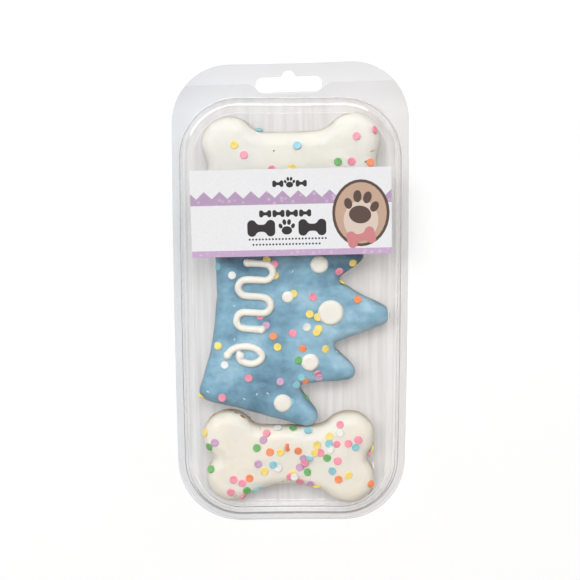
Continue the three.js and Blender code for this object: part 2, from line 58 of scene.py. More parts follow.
# %% Levels and outer sizes
SHEET = 0.5 * MM
shell_low, shell_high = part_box("shell_front")
FRONT_FLANGE = shell_low[2] + SHEET
DOME = shell_high[2] - FRONT_FLANGE
BACK_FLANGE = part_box("shell_back")[1][2]
BISCUIT_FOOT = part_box("bone_top")[0][2]
BISCUIT_THICKNESS = 14 * MM
BISCUIT_TOP = BISCUIT_FOOT + BISCUIT_THICKNESS
LABEL_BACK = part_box("label")[0][2]
HALF_WIDTH = (shell_high[0] - shell_low[0]) / 2
HALF_HEIGHT = 116.1 * MM
print("front flange at", round(FRONT_FLANGE / MM, 2), "mm, its dome rises", round(DOME / MM, 2))

# %% [markdown]
# ## The camera
# The photograph was taken from above the hang slot, so the pack looks narrower at its foot. The
# camera's place and lens were worked out from the pack's outline.

# %% Camera
CAMERA_PLACE = (-5.1 * MM, 144.8 * MM, 689.9 * MM + FRONT_FLANGE)
CAMERA_TURN = (-11.5, -0.43, -0.23)
FOCAL_SHARE = 1412.3 / 580

bpy.ops.object.camera_add(location=CAMERA_PLACE, rotation=[radians(a) for a in CAMERA_TURN])
camera = bpy.context.object
camera.name = "photo_camera"
camera.data.lens = FOCAL_SHARE * camera.data.sensor_width
camera.data.clip_start = 0.01
bpy.context.scene.camera = camera
print("lens", round(camera.data.lens, 1), "mm")

# %% [markdown]
# ## Small helpers
# An operator acts on all that is selected, so each helper clears the selection first. Modifiers are
# applied at once, which keeps the meshes plain.

# %% Selecting, editing and finishing
def pick(*objects):
    """Selects these objects alone and makes the first one active."""
    bpy.ops.object.select_all(action="DESELECT")
    for each in objects:
        each.select_set(True)
    bpy.context.view_layer.objects.active = objects[0]


def made_by(operator, **settings):
    """The new object that an operator adds."""
    operator(**settings)
    return bpy.context.object


def start_editing(piece, selection="SELECT"):
    """Edits a piece, with everything selected or nothing."""
    pick(piece)
    bpy.ops.object.mode_set(mode="EDIT")
    bpy.ops.mesh.select_all(action=selection)


def stop_editing():
    bpy.ops.object.mode_set(mode="OBJECT")


def select_where(piece, elements, wanted):
    """Selects the points, edges or faces that pass a test."""
    edit = bmesh.from_edit_mesh(piece.data)
    for element in getattr(edit, elements):
        element.select = wanted(element)
    bmesh.update_edit_mesh(piece.data)


def finish_modifier(piece, kind, **settings):
    """Adds a modifier and applies it."""
    pick(piece)
    modifier = piece.modifiers.new(kind.lower(), kind)
    for setting, value in settings.items():
        setattr(modifier, setting, value)
    bpy.ops.object.modifier_apply(modifier=modifier.name)


def settle(piece, smooth_degrees=None):
    """Applies a piece's place and turn, and may shade it smooth."""
    pick(piece)
    bpy.ops.object.transform_apply(location=True, rotation=True, scale=True)
    if smooth_degrees is not None:
        bpy.ops.object.shade_smooth_by_angle(angle=radians(smooth_degrees))


def face_outwards(piece):
    """Merges doubled points and turns all faces outwards."""
    start_editing(piece)
    bpy.ops.mesh.remove_doubles(threshold=0.001 * MM)
    bpy.ops.mesh.normals_make_consistent(inside=False)
    stop_editing()


def join(name, pieces):
    """Joins pieces into one and names it."""
    pick(*pieces)
    if len(pieces) > 1:
        bpy.ops.object.join()
    joined = bpy.context.object
    joined.name = joined.data.name = name
    settle(joined)
    return joined


def dress(piece, material, slot, *nodes):
    """Gives a piece its material and body, and hides the CAD nodes it stands for. The slot is not used."""
    piece.data.materials.clear()
    piece.data.materials.append(material)
    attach(piece, "root")
    if nodes:
        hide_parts(*nodes)
    print(piece.name, len(piece.data.polygons), "faces")


# %% [markdown]
# ## Outlines
# Two kinds of outline make the whole object. The shells are rectangles with round corners and slightly
# bowed sides. The biscuits and the hang slot are like a belt laid round circles: one inside the belt
# makes a corner, and one outside it, with a negative radius, a hollow.

# %% Outline helpers
CORNER_STEPS = 16
LONG_SIDE_STEPS = 14
SHORT_SIDE_STEPS = 8
ARC_STEP = radians(6)
SIDE_BOW = 0.85 * MM
END_BOW = 0.8 * MM


def turned(x, y, degrees):
    """A flat point turned about nought."""
    angle = radians(degrees)
    return x * cos(angle) - y * sin(angle), x * sin(angle) + y * cos(angle)


def mirrored(circles):
    """The same circles on the other side of the Y axis, in the order of the belt."""
    return [(-x, y, radius) for x, y, radius in reversed(circles)]


def bowed_outline(width, bottom, top, bottom_radius, top_radius, inset):
    """A round-cornered rectangle with bowed sides, moved in by an inset."""
    half = Vector((width / 2 - inset, (top - bottom) / 2 - inset))
    middle = (top + bottom) / 2
    low, high = bottom_radius - inset, top_radius - inset
    corners = [
        (1, -1, low, -90, LONG_SIDE_STEPS), (1, 1, high, 0, SHORT_SIDE_STEPS),
        (-1, 1, high, 90, LONG_SIDE_STEPS), (-1, -1, low, 180, SHORT_SIDE_STEPS),
    ]

    def on_arc(corner, degrees):
        x, y, radius = corner[:3]
        across, along = turned(radius, 0, degrees)
        return Vector((x * (half.x - radius) + across, y * (half.y - radius) + along))

    points = []
    for corner, following in zip(corners, corners[1:] + corners[:1]):
        for step in range(CORNER_STEPS + 1):
            points.append(on_arc(corner, corner[3] + 90 * step / CORNER_STEPS))
        start, end = points[-1], on_arc(following, following[3])
        points += [start.lerp(end, step / corner[4]) for step in range(1, corner[4])]
    for point in points:
        across, along = point.x / half.x, point.y / half.y
        point.x -= SIDE_BOW * across * along * along
        point.y += middle + END_BOW * along * across * across
    return points


def belt_outline(circles):
    """An outline laid round (x, y, radius) circles, in millimetres."""
    circles = [(x * MM, y * MM, radius * MM) for x, y, radius in circles]
    leaving = []
    for index, (x, y, radius) in enumerate(circles):
        next_x, next_y, next_radius = circles[(index + 1) % len(circles)]
        apart = hypot(next_x - x, next_y - y)
        lean = max(-1, min(1, (radius - next_radius) / apart))
        leaving.append(atan2(next_y - y, next_x - x) + asin(lean))
    points = []
    for index, (x, y, radius) in enumerate(circles):
        arriving = leaving[index - 1]
        turn = (leaving[index] - arriving) % (2 * pi)
        if radius < 0 and turn > 0:
            turn -= 2 * pi
        steps = max(1, ceil(abs(turn) / ARC_STEP))
        for step in range(steps + 1):
            heading = arriving + turn * step / steps
            points.append(Vector((x + radius * sin(heading), y - radius * cos(heading))))
    return points


# %% [markdown]
# ## Modelling from an outline
# A piece starts as Blender's own circle, laid on the first outline. Its rim is extruded again and
# again, each new rim is laid on the next outline, and the last one is filled.

# %% Growing a sheet from rings
def lay_ring(mesh, previous, ring):
    """Moves a rim's selected points from one ring to the next."""
    nearest = kdtree.KDTree(len(previous))
    for index, place in enumerate(previous):
        nearest.insert(place, index)
    nearest.balance()
    edit = bmesh.from_edit_mesh(mesh)
    for point in edit.verts:
        if point.select:
            point.co = ring[nearest.find(point.co)[1]]
    bmesh.update_edit_mesh(mesh)


def grow_sheet(name, rings):
    """A sheet through rings, made by extruding a circle's rim."""
    sheet = made_by(bpy.ops.mesh.primitive_circle_add, vertices=len(rings[0]))
    sheet.name = sheet.data.name = name
    for point, place in zip(sheet.data.vertices, rings[0]):
        point.co = place
    start_editing(sheet)
    for previous, ring in zip(rings, rings[1:]):
        bpy.ops.mesh.extrude_edges_move()
        lay_ring(sheet.data, previous, ring)
    bpy.ops.mesh.edge_face_add()
    stop_editing()
    return sheet


def ring_at(outline, z):
    """An outline lifted to a height."""
    return [Vector((point.x, point.y, z)) for point in outline]


def close_rim(solid):
    """Makes a sheet a solid by filling its first ring."""
    start_editing(solid, "DESELECT")
    bpy.ops.mesh.select_non_manifold(extend=False)
    bpy.ops.mesh.edge_face_add()
    stop_editing()
    face_outwards(solid)
    return solid


def prism(name, outline, low, high):
    """A closed upright solid over an outline."""
    return close_rim(grow_sheet(name, [ring_at(outline, low), ring_at(outline, high)]))


# %% [markdown]
# ## Materials from nodes
# `add` makes a shader node and fills its inputs: another node's output is linked, and any other value
# is a constant. Textures lie on Object coordinates, so they don't slide.

# %% Node helpers
def new_material(name):
    """An empty node material and its tree."""
    material = bpy.data.materials.new(name)
    material.use_nodes = True
    material.node_tree.nodes.clear()
    return material, material.node_tree


def add(tree, kind, inputs, **settings):
    """A new node with these settings and inputs."""
    node = tree.nodes.new("ShaderNode" + kind)
    for setting, value in settings.items():
        setattr(node, setting, value)
    for socket, value in inputs.items():
        if isinstance(value, bpy.types.NodeSocket):
            tree.links.new(value, node.inputs[socket])
        else:
            node.inputs[socket].default_value = value
    return node


def show(tree, shader):
    """Makes a shader the surface of the material."""
    add(tree, "OutputMaterial", {"Surface": shader.outputs[0]})


def surface(tree, colour, roughness, shine, **inputs):
    """Shows a solid surface of a colour."""
    basics = {"Base Color": colour, "Roughness": roughness, "Specular IOR Level": shine}
    show(tree, add(tree, "BsdfPrincipled", {**basics, **inputs}))


def position(tree, kind="Object"):
    """The X, Y and Z of a texture coordinate."""
    place = add(tree, "TexCoord", {}).outputs[kind]
    return add(tree, "SeparateXYZ", {"Vector": place}).outputs


def calculate(tree, operation, *values):
    """The result of a calculation."""
    return add(tree, "Math", dict(enumerate(values)), operation=operation).outputs[0]


def share(tree, value, low, high, start=0.0, end=1.0, **settings):
    """A value between low and high, brought to between start and end."""
    inputs = {"Value": value, "From Min": low, "From Max": high, "To Min": start, "To Max": end}
    return add(tree, "MapRange", inputs, **settings).outputs["Result"]


def noise_texture(tree, scale, stretch=(1, 1, 1), **inputs):
    """The value of a noise texture, which may be stretched."""
    place = add(tree, "TexCoord", {}).outputs["Object"]
    place = add(tree, "Mapping", {"Vector": place, "Scale": stretch}).outputs["Vector"]
    return add(tree, "TexNoise", {"Vector": place, "Scale": scale, **inputs}).outputs["Fac"]


def ramp(tree, factor, stops):
    """The colour of a ramp through (position, colour) stops."""
    node = add(tree, "ValToRGB", {"Fac": factor})
    while len(node.color_ramp.elements) < len(stops):
        node.color_ramp.elements.new(0.5)
    for element, (place, colour) in zip(node.color_ramp.elements, stops):
        element.position = place
        element.color = (*colour, 1)
    return node.outputs["Color"]


def mix_colours(tree, factor, first, second, **settings):
    """Two colours mixed."""
    inputs = {"Factor": factor, "A": first, "B": second}
    return add(tree, "Mix", inputs, data_type="RGBA", **settings).outputs["Result"]


def bump(tree, height, strength, distance, **below):
    """The normal of a bump, which may lie on top of another one."""
    inputs = {"Height": height, "Strength": strength, "Distance": distance, **below}
    return add(tree, "Bump", inputs).outputs["Normal"]


# %% [markdown]
# ## Clear plastic
# Glass on a wall of real thickness draws the bright and dark lines at each fold. It would throw a solid
# shadow, so shadow rays meet a slightly grey transparent shader instead. The tint follows the height,
# because the sheet is clearest where it was drawn over a mould, and upright faces such as the cut edge get
# a dark painted shade. Light caught inside the sheet leaves it as a painted glow, dark at the foot of
# the pack and white towards the lamp beyond its top.

# %% Plastic material
def clear_plastic_material(name, tints, streak, upright_shade):
    """Clear sheet whose tint follows the height, with painted shade where it is upright and a painted glow
    for caught light.
    """
    material, tree = new_material(name)
    place = position(tree)
    low, high = tints[0][0], tints[-1][0]
    streaks = noise_texture(tree, 420.0, (1, 0.04, 1), Detail=4.0, Roughness=0.65)
    flat = share(tree, place["Z"], high - 3 * MM, high - 1 * MM, end=0.4)
    along = share(tree, place["Y"], -HALF_HEIGHT, HALF_HEIGHT)
    shape = add(tree, "NewGeometry", {})
    facing = add(tree, "SeparateXYZ", {"Vector": shape.outputs["True Normal"]})
    filters = [
        (share(tree, place["X"], -HALF_WIDTH, HALF_WIDTH), [(0.1, COOL), (0.9, WARM)]),
        (calculate(tree, "ADD", streaks, flat), [(0.35, streak), (0.6, CLEAR)]),
        (along, [(0.90, CLEAR), (0.95, TAB)]),
        # Upright faces, such as the cut edges, get a painted shade.
        (calculate(tree, "ABSOLUTE", facing.outputs["Z"]), [(0.15, upright_shade), (0.3, CLEAR)]),
    ]
    level = share(tree, place["Z"], low, high)
    colour = ramp(tree, level, [((z - low) / (high - low), tint) for z, tint in tints])
    for factor, stops in filters:
        tint = ramp(tree, factor, stops)
        colour = mix_colours(tree, 1.0, colour, tint, blend_type="MULTIPLY")

    wave = bump(tree, noise_texture(tree, 45.0), 0.14, 1.0 * MM)
    normal = bump(tree, streaks, 0.05, 0.1 * MM, Normal=wave)
    glass = add(tree, "BsdfGlass", {"Color": colour, "Roughness": 0.0, "IOR": 1.5, "Normal": normal})
    through = add(tree, "BsdfTransparent", {"Color": (SHADOW, SHADOW, SHADOW, 1)})
    # Painted glow for light caught in the sheet: dark at the foot of the pack, white towards the lamp.
    glow = add(tree, "Emission", {"Color": ramp(tree, along, PAINTED_GLOW)})
    path = add(tree, "LightPath", {})
    caught = calculate(tree, "GREATER_THAN", path.outputs["Glossy Depth"], CAUGHT_DEPTH)
    sheet = add(tree, "MixShader", {0: caught, 1: glass.outputs[0], 2: glow.outputs[0]})
    shadow = path.outputs["Is Shadow Ray"]
    show(tree, add(tree, "MixShader", {0: shadow, 1: sheet.outputs[0], 2: through.outputs[0]}))
    return material


CLEAR = (1, 1, 1)
CAUGHT_DEPTH = 2.5
COOL = (0.993, 0.996, 1.0)
WARM = (1.0, 0.996, 0.994)
SHADOW = 0.988
# A painted glow, from dark at the foot of the pack to white at its top, towards the lamp.
PAINTED_GLOW = [(0.0, (0.12, 0.11, 0.10)), (0.12, (0.45, 0.44, 0.43)), (0.8, (0.55, 0.55, 0.55)), (0.95, CLEAR)]
# Painted shade for the upright cut edges of the front sheet.
CUT_EDGE_SHADE = (0.45, 0.45, 0.46)
THICK = (0.915, 0.915, 0.919)
DRAWN = (0.991, 0.991, 0.991)
TAB = (0.980, 0.980, 0.980)
TRAY = (0.978, 0.978, 0.978)
TRAY_FLOOR = (0.908, 0.903, 0.898)
CLEAREST = (0.996, 0.996, 0.996)
HAZE = (0.960, 0.954, 0.948)
FRONT_TINTS = [
    (0.0, THICK), (FRONT_FLANGE + 0.2 * MM, THICK),
    (FRONT_FLANGE + 0.8 * MM, DRAWN), (FRONT_FLANGE + DOME, DRAWN),
]
BACK_TINTS = [
    (0.0, TRAY_FLOOR), (0.6 * MM, TRAY_FLOOR), (2.2 * MM, TRAY),
    (BACK_FLANGE - 5 * MM, TRAY), (BACK_FLANGE - 2 * MM, CLEAREST), (BACK_FLANGE, CLEAREST),
]
front_plastic = clear_plastic_material("clear_front", FRONT_TINTS, CLEAR, CUT_EDGE_SHADE)
back_plastic = clear_plastic_material("clear_back", BACK_TINTS, HAZE, CLEAR)

# %% [markdown]
# ## The front shell
# The front is one sheet: a flat flange, a wall that goes up in two steps with a narrow ledge between,
# and a flat face. Each corner of the wall is listed as inset, height and the reach of its bend. The tab
# above it leans a little.

# %% Rounded profile of a wall
LONGEST_BEND = 0.45


def rounded_profile(corners, steps=5):
    """A polyline of (inset, height, bend) in millimetres with each inner corner rounded."""
    rounded = [Vector(corners[0][:2])]
    for before, (*corner, bend), after in zip(corners, corners[1:], corners[2:]):
        before, corner, after = Vector(before[:2]), Vector(corner), Vector(after[:2])
        back, forth = before - corner, after - corner
        reach = min(bend, back.length * LONGEST_BEND, forth.length * LONGEST_BEND)
        start = corner + back.normalized() * reach
        end = corner + forth.normalized() * reach
        for step in range(steps + 1):
            t = step / steps
            rounded.append((1 - t) ** 2 * start + 2 * t * (1 - t) * corner + t * t * end)
    rounded.append(Vector(corners[-1][:2]))
    return rounded


# %% Front shell
LIP = 0.7 * MM
LIP_DROP = 0.06 * MM
BLISTER = (109.4 * MM, -113.0 * MM, 99.35 * MM, 29.4 * MM, 29.4 * MM)
FLANGE_SIZE = (2 * HALF_WIDTH, -HALF_HEIGHT, HALF_HEIGHT)
FRONT_CORNERS = (32.3 * MM, 28.6 * MM)
BACK_CORNERS = (34.8 * MM, 28.6 * MM)
TAB_LEAN = 1.2 * MM
DOME_CORNERS = [
    (-1.9, 0, 0), (0, 0, 0.85), (1.8, 3, 0.5), (3.7, 3.7, 0.5), (6.4, DOME / MM, 0.55), (9, DOME / MM, 0),
]


def flange_outline(corners, inset):
    """The flange's outer edge, whose upper end leans."""
    outline = bowed_outline(*FLANGE_SIZE, *corners, inset)
    for point in outline:
        along = max(0, point.y / HALF_HEIGHT)
        point.y += TAB_LEAN * along ** 2 * point.x / HALF_WIDTH
    return outline


def shell_rings(corners, level, sign):
    """The rings of a shell from inside its flange to its flat face."""
    return [
        ring_at(bowed_outline(*BLISTER, inset * MM), level + sign * height * MM)
        for inset, height in rounded_profile(corners)
    ]


FRONT_RIM = [(0, LIP_DROP), (LIP, 0), (1.5 * LIP, 0)]
front_rings = [
    ring_at(flange_outline(FRONT_CORNERS, inset), FRONT_FLANGE - drop) for inset, drop in FRONT_RIM
]
front_rings += shell_rings(DOME_CORNERS, FRONT_FLANGE, 1)
front_shell = grow_sheet("front_shell", front_rings)
face_outwards(front_shell)
print("front shell:", len(front_shell.data.polygons), "faces as a sheet")

# %% [markdown]
# ## The back shell
# The tray is drawn down from its own flange, with a larger bend at the floor. Its flange has rounder
# lower corners than the front's, so two edges show there.

# %% Back shell
TRAY_DEPTH = (BACK_FLANGE - SHEET) / MM
TRAY_CORNERS = [(-1.2, 0, 0), (0.5, 0, 0.7), (1.3, TRAY_DEPTH, 2.4), (7.5, TRAY_DEPTH, 0)]
BACK_FLANGE_INSET = 0.25 * MM

back_rings = [ring_at(flange_outline(BACK_CORNERS, BACK_FLANGE_INSET), BACK_FLANGE)]
back_rings += shell_rings(TRAY_CORNERS, BACK_FLANGE, -1)
back_shell = grow_sheet("back_shell", back_rings)
face_outwards(back_shell)
print("back shell:", len(back_shell.data.polygons), "faces as a sheet")

# %% [markdown]
# ## Thickness, the hang slot and the tab
# Solidify gives both sheets their thickness. A boolean cuts the slot, with a round notch where a hook
# settles, and a small nick. The back flange stops below the tab and dips round the slot, so the tab is
# a single sheet.

# %% Cutters
SLOT_CENTRE = (-0.7 * MM, 106 * MM)
SLOT_TURN = radians(1.8)
SLOT_END = 3.2
SLOT_X, SLOT_Y = 16.0 - SLOT_END, 3.6 - SLOT_END
NOTCH_Y = 3.6
NOTCH_RADIUS = 3.1
NOTCH_FILLET = 0.8
NICK = [(43.1, 113.5, 0.3), (43.7, 113.5, 0.3)]
BACK_EDGE = [
    (61, 108.9, 1), (61, 125, 1), (-61, 125, 1), (-61, 106.2, 1),
    (-20.2, 104, -2), (-11.6, 106.2, 5), (11.2, 106.8, 5), (20.2, 105, -2),
]
CUT_REACH = 3 * MM

fillet_x = sqrt((NOTCH_RADIUS + NOTCH_FILLET) ** 2 - NOTCH_FILLET ** 2)
half_slot = [
    (SLOT_X, -SLOT_Y, SLOT_END), (SLOT_X, SLOT_Y, SLOT_END),
    (fillet_x, NOTCH_Y + NOTCH_FILLET, -NOTCH_FILLET),
]
SLOT = half_slot + [(0, NOTCH_Y, NOTCH_RADIUS)] + mirrored(half_slot)


def cutter(name, circles, level):
    """A solid that reaches through the sheet at a level."""
    return prism(name, belt_outline(circles), level - CUT_REACH, level + CUT_REACH)


slot_cutter = cutter("slot_cutter", SLOT, FRONT_FLANGE)
slot_cutter.location = (*SLOT_CENTRE, 0)
slot_cutter.rotation_euler.z = SLOT_TURN
settle(slot_cutter)
front_cutter = join("front_cutter", [slot_cutter, cutter("nick_cutter", NICK, FRONT_FLANGE)])
back_cutter = cutter("edge_cutter", BACK_EDGE, BACK_FLANGE)

# %% Thickness and cut
for shell, upwards, tool in ((front_shell, True, front_cutter), (back_shell, False, back_cutter)):
    flat_face = max(shell.data.polygons, key=lambda each: each.area)
    if (flat_face.normal.z > 0) != upwards:
        start_editing(shell)
        bpy.ops.mesh.flip_normals()
        stop_editing()
    side = -1 if upwards else 1
    finish_modifier(shell, "SOLIDIFY", thickness=SHEET, offset=side, use_even_offset=True)
    finish_modifier(shell, "BOOLEAN", operation="DIFFERENCE", solver="EXACT", object=tool)
    settle(shell, smooth_degrees=35)
    bpy.data.objects.remove(tool)
dress(front_shell, front_plastic, "clear_plastic", "shell_front")
dress(back_shell, back_plastic, "clear_plastic", "shell_back")

# %% [markdown]
# ## Icing
# Icing dries smooth and slightly waxy, so it has a little subsurface scattering. Down the side the colour
# turns to a foot colour: on the bones baked dough showing where the coat thins, together with painted
# shade at the foot, and on the crown a painted deep blue shade. Two bumps give the waves of the dipping
# and the fine streaks of the knife.

# %% Icing material
# Where the label's painted shadow on the crown fades out and where it is full.
SHADE_FADES = 3 * MM
SHADE_FULL = 21 * MM
ICING_STOPS = (0.26, 0.50, 0.78)
RAGGED = 4 * MM
FOOT_COLOUR_BELOW = 1 * MM
COAT_COLOUR_ABOVE = 8.5 * MM


def icing_material(name, colours, foot_dough_and_shade, streak, stroke_share, painted_light_slope, shaded=0.0):
    """Icing painted paler up the pack towards the lamp and darker in the label's painted shadow, with a foot
    colour down the side.
    """
    material, tree = new_material(name)
    place = position(tree)
    clouds = noise_texture(tree, 42.0, Detail=8.0, Roughness=0.62)
    strokes = noise_texture(tree, 230.0, (0.3, 1, 1), Detail=5.0, Distortion=0.3)
    blend = add(tree, "Mix", {"Factor": stroke_share, "A": clouds, "B": strokes}).outputs["Result"]
    # Painted light: the icing gets paler up the pack, towards the lamp beyond its top.
    risen = calculate(tree, "MULTIPLY_ADD", place["Y"], painted_light_slope, blend)
    # A painted shadow of the label on the icing just below it.
    label_shade = {"end": -shaded, "interpolation_type": "SMOOTHSTEP"}
    shade = share(tree, place["Y"], SHADE_FADES, SHADE_FULL, **label_shade)
    paleness = calculate(tree, "ADD", risen, shade)
    coat = ramp(tree, paleness, list(zip(ICING_STOPS, colours)))
    ragged = calculate(tree, "MULTIPLY_ADD", clouds, -RAGGED, place["Z"])
    # Foot colour below, coat above: dough showing through, and painted shade at the foot.
    height = share(tree, ragged, BISCUIT_FOOT + FOOT_COLOUR_BELOW, BISCUIT_FOOT + COAT_COLOUR_ABOVE)
    waves = bump(tree, noise_texture(tree, 170.0, Detail=3.0), 0.3, 0.5 * MM)
    waxy = {"Subsurface Weight": 0.1, "Subsurface Radius": (1.0, 0.8, 0.6), "Subsurface Scale": 1.5 * MM}
    normal = bump(tree, strokes, streak, 0.4 * MM, Normal=waves)
    surface(tree, mix_colours(tree, height, (*foot_dough_and_shade, 1), coat), 0.42, 0.35, Normal=normal, **waxy)
    return material


CREAM = ((0.79, 0.73, 0.615), (0.76, 0.735, 0.655), (0.71, 0.705, 0.65))
# Dough brown at the bones' foot, partly dough and partly painted shade.
DOUGH_AND_FOOT_SHADE = (0.42, 0.29, 0.16)
BLUE = ((0.03, 0.11, 0.18), (0.22, 0.415, 0.535), (0.66, 0.87, 0.96))
# Painted shade at the crown's foot.
PAINTED_SHADE_BLUE = (0.03, 0.10, 0.15)
WHITE = ((0.78, 0.74, 0.65), (0.80, 0.77, 0.69), (0.82, 0.79, 0.72))
# painted_light_slope paints each icing paler up the pack; shaded paints the label's shadow on the crown.
cream = icing_material("cream_icing", CREAM, DOUGH_AND_FOOT_SHADE, streak=0.05, stroke_share=0.1, painted_light_slope=1.3)
blue = icing_material("blue_icing", BLUE, PAINTED_SHADE_BLUE, streak=0.25, stroke_share=0.2, painted_light_slope=1, shaded=0.2)
white = icing_material("white_icing", WHITE, WHITE[0], streak=0.05, stroke_share=0.1, painted_light_slope=0)

# %% [markdown]
# ## Biscuit bodies
# A biscuit's section is a quarter ellipse at the foot, another at the upper edge and a slight rise to
# the middle. Its rings are its belt drawn tighter or looser by changing all the radii. Cloud textures
# make the whole hand-made.

# %% Biscuit helper
VOXEL = 0.7 * MM
UPPER_EDGE = (6.5, 5.0)
LOWER_EDGE = (4.5, 4.2)
CAP_INSET = 3.5
EDGE_STEPS = 10
RIM_STEPS = 8
CROWNING = 1.0
CROWNING_REACH = 9.0


def edge_fall(inset, edge):
    """How far a rounded edge falls at an inset, in millimetres."""
    reach, fall = edge
    part = 1 - min(1, inset / reach)
    return fall * (1 - sqrt(1 - part * part))


def top_height(inset):
    """The height of a biscuit's top at an inset, in millimetres."""
    dip = CROWNING * exp(-inset / CROWNING_REACH)
    return BISCUIT_TOP / MM - dip - edge_fall(inset, UPPER_EDGE)


def raise_cap(block, outline):
    """Raises the flat cap to carry on from the rounded edge."""
    rim = kdtree.KDTree(len(outline) * RIM_STEPS)
    for index, point in enumerate(outline):
        following = outline[(index + 1) % len(outline)]
        for step in range(RIM_STEPS):
            place = point.lerp(following, step / RIM_STEPS)
            rim.insert((place.x, place.y, 0), index * RIM_STEPS + step)
    rim.balance()
    middle = (BISCUIT_FOOT + BISCUIT_TOP) / 2
    for point in block.data.vertices:
        inset = rim.find((point.co.x, point.co.y, 0))[2] / MM
        if point.co.z > middle and inset > CAP_INSET:
            point.co.z += (top_height(inset) - top_height(CAP_INSET)) * MM


def lumpy(piece, size, strength):
    """Displaces a piece by a cloud texture."""
    clouds = bpy.data.textures.new("clouds", "CLOUDS")
    clouds.noise_scale = size
    finish_modifier(piece, "DISPLACE", texture=clouds, texture_coords="LOCAL", strength=strength)


def biscuit(name, circles, place, turn):
    """A soft, hand-made biscuit, turned and moved to its place in the pack."""

    def outline_at(swell):
        return belt_outline([(x, y, radius + swell) for x, y, radius in circles])

    insets = [CAP_INSET * (1 - cos(pi / 2 * i / EDGE_STEPS)) for i in range(EDGE_STEPS + 1)]
    levels = [(inset, BISCUIT_FOOT / MM + edge_fall(inset, LOWER_EDGE)) for inset in insets[::-1]]
    levels += [(inset, top_height(inset)) for inset in insets]
    rings = [ring_at(outline_at(-inset), level * MM) for inset, level in levels]
    block = close_rim(grow_sheet(name, rings))
    finish_modifier(block, "REMESH", mode="VOXEL", voxel_size=VOXEL)
    raise_cap(block, outline_at(0))
    finish_modifier(block, "SMOOTH", factor=0.5, iterations=4)
    lumpy(block, 14 * MM, 1.3 * MM)
    lumpy(block, 5 * MM, 0.3 * MM)
    finish_modifier(block, "SMOOTH", factor=0.5, iterations=4)
    block.location = (place[0] * MM, place[1] * MM, 0)
    block.rotation_euler.z = radians(turn)
    settle(block, smooth_degrees=180)
    return block


# %% Bone outlines
TOP_LOBES = [(30.6, -11.2, 13.4), (30.6, 11.7, 13.4), (-30.6, 11.7, 13.4), (-30.6, -11.2, 13.4)]
TOP_HOLLOWS = {"ends": (20, 20), "above": (16.5, 12), "below": (14.8, 30)}
BOTTOM_LOBES = [(30.5, -11.2, 13.3), (30.5, 11.2, 13.3), (-30.5, 11.6, 13.3), (-29.3, -9.9, 13.2)]
BOTTOM_HOLLOWS = {"ends": (5, 3), "above": (16.7, 8), "below": (14.4, 30)}


def end_hollow(start, end, radius):
    """The hollow that touches two lobes, on their right."""
    way = Vector(end[:2]) - Vector(start[:2])
    apart = way.length
    along = ((start[2] + radius) ** 2 - (end[2] + radius) ** 2 + apart ** 2) / (2 * apart)
    aside = sqrt((start[2] + radius) ** 2 - along ** 2)
    way.normalize()
    return start[0] + along * way.x + aside * way.y, start[1] + along * way.y - aside * way.x, -radius


def waist_hollow(lobe, waist, radius):
    """The hollow that leads from a lobe into the straight waist."""
    y = copysign(waist + radius, lobe[1])
    aside = sqrt((lobe[2] + radius) ** 2 - (y - lobe[1]) ** 2)
    return lobe[0] - copysign(aside, lobe[0]), y, -radius


def bone_circles(lobes, ends, above, below):
    """The circles of a bone's outline, from its lower right lobe."""
    lower_right, upper_right, upper_left, lower_left = lobes
    return [
        lower_right, end_hollow(lower_right, upper_right, ends[0]), upper_right,
        waist_hollow(upper_right, *above), waist_hollow(upper_left, *above),
        upper_left, end_hollow(upper_left, lower_left, ends[1]), lower_left,
        waist_hollow(lower_left, *below), waist_hollow(lower_right, *below),
    ]


# %% Crown outline
HOLLOW = 156.0
CORNER = 4.6
LOWER_CORNER_Y, UPPER_CORNER_Y = 44.7, 38.2
MIDDLE_TIP = (82.1, 0.0, 5.2)
INNER_TIP = (68.05, 30.15, 4.3)
LOWER_TIP = (49.8, 55.0, 5.1)
UPPER_TIP = (46.6, 50.6, 5.1)
INNER_VALLEY = (63.5, 17.1, -2.6)
OUTER_VALLEY = (46.9, 39.9, -2.0)


def corner(y):
    """A round corner that touches the crown's hollow base."""
    return sqrt((HOLLOW + CORNER) ** 2 - y ** 2) - HOLLOW, y, CORNER


lower_half = [corner(LOWER_CORNER_Y), LOWER_TIP, OUTER_VALLEY, INNER_TIP, INNER_VALLEY]
upper_half = [INNER_VALLEY, INNER_TIP, OUTER_VALLEY, UPPER_TIP, corner(UPPER_CORNER_Y)]
CROWN_CIRCLES = [(x, -y, radius) for x, y, radius in lower_half]
CROWN_CIRCLES += [MIDDLE_TIP, *upper_half, (-HOLLOW, 0, -HOLLOW)]

# %% The three biscuits
CROWN_PLACE = (-37.6, -4.7)
CROWN_TURN = -3.8

top_circles = bone_circles(TOP_LOBES, **TOP_HOLLOWS)
bottom_circles = bone_circles(BOTTOM_LOBES, **BOTTOM_HOLLOWS)
bone_top = biscuit("top_bone_biscuit", top_circles, (0.9, 65.9), 1.6)
bone_bottom = biscuit("bottom_bone_biscuit", bottom_circles, (-1.3, -84.9), -0.3)
crown = biscuit("crown_biscuit", CROWN_CIRCLES, CROWN_PLACE, CROWN_TURN)
dress(bone_top, cream, "cream_icing", "bone_top")
dress(bone_bottom, cream, "cream_icing", "bone_bottom")
dress(crown, blue, "blue_icing", "crown")
for piece, node in ((bone_top, "bone_top"), (bone_bottom, "bone_bottom"), (crown, "crown")):
    extent = [round(d / MM, 1) for d in piece.dimensions]
    low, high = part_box(node)
    print(piece.name, extent, "mm, CAD", [round((b - a) / MM, 1) for a, b in zip(low, high)])

# %% [markdown]
# ## Icing drops and the piped line
# The drops are cylinders whose upper edge is bevelled into a dome. The line is a curve with a round
# section, with a blob at each end where the nozzle stopped. Remeshing hides all seams.

